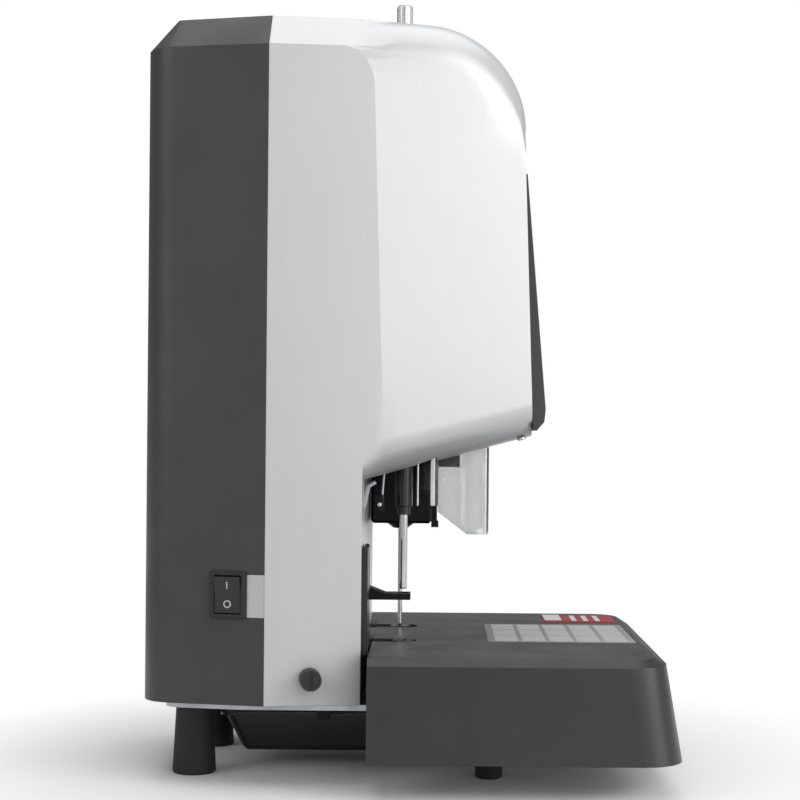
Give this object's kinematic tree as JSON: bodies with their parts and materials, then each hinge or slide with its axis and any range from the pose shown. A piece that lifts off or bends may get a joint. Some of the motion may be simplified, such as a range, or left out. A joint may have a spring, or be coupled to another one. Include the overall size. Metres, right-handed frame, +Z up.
{
  "type": "voucher binding machine",
  "caption": "Electric desk machine that drills a stack of papers and closes a tube rivet in the hole; silver head over a dark table.",
  "frame": {"origin": "on the ground under the middle of the machine's bounding box", "axes": "+Z up; -Y towards the user who stands at the table; -X to the machine's left side, where the power switch is"},
  "size_m": [0.294, 0.3608, 0.554],
  "materials": {
    "silver_lacquer": "silver-grey lacquered sheet steel, satin",
    "dark_grey_plastic": "dark grey moulded plastic, fine grain",
    "black_plastic": "black moulded plastic",
    "black_rubber": "black moulded rubber",
    "blackened_steel": "blackened machined steel",
    "ground_steel": "ground and turned steel",
    "zinc_sheet": "zinc-plated sheet and pressings",
    "cast_aluminium": "as-cast and machined aluminium",
    "brass": "turned brass",
    "white_nylon": "natural nylon",
    "clear_acrylic": "clear acrylic sheet, bent",
    "green_board": "green circuit board laminate"
  },
  "bodies": {
    "machine_body": {"rear_foot_left": "black_rubber", "rear_foot_right": "black_rubber", "front_foot_left": "black_rubber", "front_foot_right": "black_rubber", "base_plate": "zinc_sheet", "housing": "silver_lacquer", "rear_cover": "dark_grey_plastic", "switch_bezel": "black_plastic", "front_panel": "dark_grey_plastic", "display_window": "black_plastic", "table_cover": "dark_grey_plastic", "pad_holder": "blackened_steel", "die_holder": "blackened_steel", "cutting_pad": "white_nylon", "lower_die": "ground_steel", "chip_chute": "zinc_sheet", "frame_cheek_left": "zinc_sheet", "frame_cheek_right": "zinc_sheet", "middle_plate": "zinc_sheet", "top_plate": "zinc_sheet", "rivet_block": "blackened_steel", "presser_rod": "ground_steel", "fence": "black_plastic", "fuse_holder": "black_plastic", "tray_hanger_left": "blackened_steel", "tray_hanger_right": "blackened_steel", "guard": "clear_acrylic", "guard_bracket": "blackened_steel", "power_inlet": "black_plastic", "control_board": "green_board", "power_supply": "zinc_sheet", "drill_guide_rod_a": "ground_steel", "drill_guide_rod_b": "ground_steel", "drill_feed_motor": "zinc_sheet", "rivet_guide_rod_a": "ground_steel", "rivet_guide_rod_b": "ground_steel", "rivet_feed_motor": "zinc_sheet"},
    "drill_carriage_body": {"drill_carriage": "cast_aluminium", "drill_quill": "blackened_steel", "drill_feed_nut": "brass", "drill_motor": "zinc_sheet", "drive_belt": "black_rubber"},
    "drill_spindle_body": {"spindle": "ground_steel", "hollow_drill": "ground_steel", "spindle_pulley": "cast_aluminium"},
    "drill_motor_body": {"motor_pulley": "cast_aluminium"},
    "rivet_carriage_body": {"rivet_carriage": "cast_aluminium", "rivet_feed_nut": "brass", "rivet_ram": "ground_steel"},
    "drill_screw_body": {"drill_feed_screw": "ground_steel"},
    "rivet_screw_body": {"rivet_feed_screw": "ground_steel"},
    "needle_body": {"guide_needle": "ground_steel", "needle_knob": "ground_steel"},
    "presser_body": {"presser_arm": "blackened_steel"},
    "tray_body": {"chip_tray": "black_plastic"},
    "rocker_body": {"switch_rocker": "black_plastic"},
    "fuse_cap_body": {"fuse_cap": "black_plastic"},
    "key_left_body": {"key_left": "black_plastic"},
    "key_middle_body": {"key_middle": "black_plastic"},
    "key_right_body": {"key_right": "black_plastic"}
  },
  "joints": [
    {"name": "drill_feed", "type": "slide", "parent": "machine_body", "child": "drill_carriage_body", "axis": [0, 0, 1], "range_m": [-0.0365, 0]},
    {"name": "drill_spin", "type": "hinge", "parent": "drill_carriage_body", "child": "drill_spindle_body", "pos_m": [-0.0445, 0.005, 0.1784], "axis": [0, 0, 1], "continuous": true},
    {"name": "drill_motor_spin", "type": "hinge", "parent": "drill_carriage_body", "child": "drill_motor_body", "pos_m": [-0.0445, 0.08, 0.399], "axis": [0, 0, 1], "continuous": true},
    {"name": "rivet_press", "type": "slide", "parent": "machine_body", "child": "rivet_carriage_body", "axis": [0, 0, 1], "range_m": [-0.07, 0]},
    {"name": "drill_screw_turn", "type": "hinge", "parent": "machine_body", "child": "drill_screw_body", "pos_m": [-0.0445, 0.045, 0.2683], "axis": [0, 0, 1], "range_deg": [-1650, 5]},
    {"name": "rivet_screw_turn", "type": "hinge", "parent": "machine_body", "child": "rivet_screw_body", "pos_m": [0.0445, 0.045, 0.2683], "axis": [0, 0, 1], "range_deg": [-3155, 5]},
    {"name": "presser_slide", "type": "slide", "parent": "machine_body", "child": "presser_body", "axis": [0, 0, 1], "range_m": [-0.0271, 0]},
    {"name": "needle_lift", "type": "slide", "parent": "machine_body", "child": "needle_body", "axis": [0, 0, 1], "range_m": [0, 0.06]},
    {"name": "tray_slide", "type": "slide", "parent": "machine_body", "child": "tray_body", "axis": [0, 1, 0], "range_m": [0, 0.075]},
    {"name": "rocker_tilt", "type": "hinge", "parent": "machine_body", "child": "rocker_body", "pos_m": [-0.10608, 0.1197, 0.1275], "axis": [0.1961, 0.9806, 0], "range_deg": [0, 9]},
    {"name": "fuse_cap_turn", "type": "hinge", "parent": "machine_body", "child": "fuse_cap_body", "pos_m": [-0.10573, 0.065, 0.0727], "axis": [-0.99, -0.141, 0], "range_deg": [0, 90]},
    {"name": "key_left_press", "type": "slide", "parent": "machine_body", "child": "key_left_body", "axis": [0, 0.9964, -0.0847], "range_m": [0, 0.0008], "stiffness_N_per_m": 600, "springref_m": -0.0005},
    {"name": "key_middle_press", "type": "slide", "parent": "machine_body", "child": "key_middle_body", "axis": [0, 0.9964, -0.0847], "range_m": [0, 0.0008], "stiffness_N_per_m": 600, "springref_m": -0.0005},
    {"name": "key_right_press", "type": "slide", "parent": "machine_body", "child": "key_right_body", "axis": [0, 0.9964, -0.0847], "range_m": [0, 0.0008], "stiffness_N_per_m": 600, "springref_m": -0.0005}
  ],
  "couplings": [
    {"joint": "drill_motor_spin", "follows": "drill_spin", "ratio": 1.3333},
    {"joint": "drill_screw_turn", "follows": "drill_feed", "rad_per_m": 785.4},
    {"joint": "rivet_screw_turn", "follows": "rivet_press", "rad_per_m": 785.4},
    {"joint": "presser_slide", "follows": "drill_feed", "ratio": 0.73973}
  ]
}
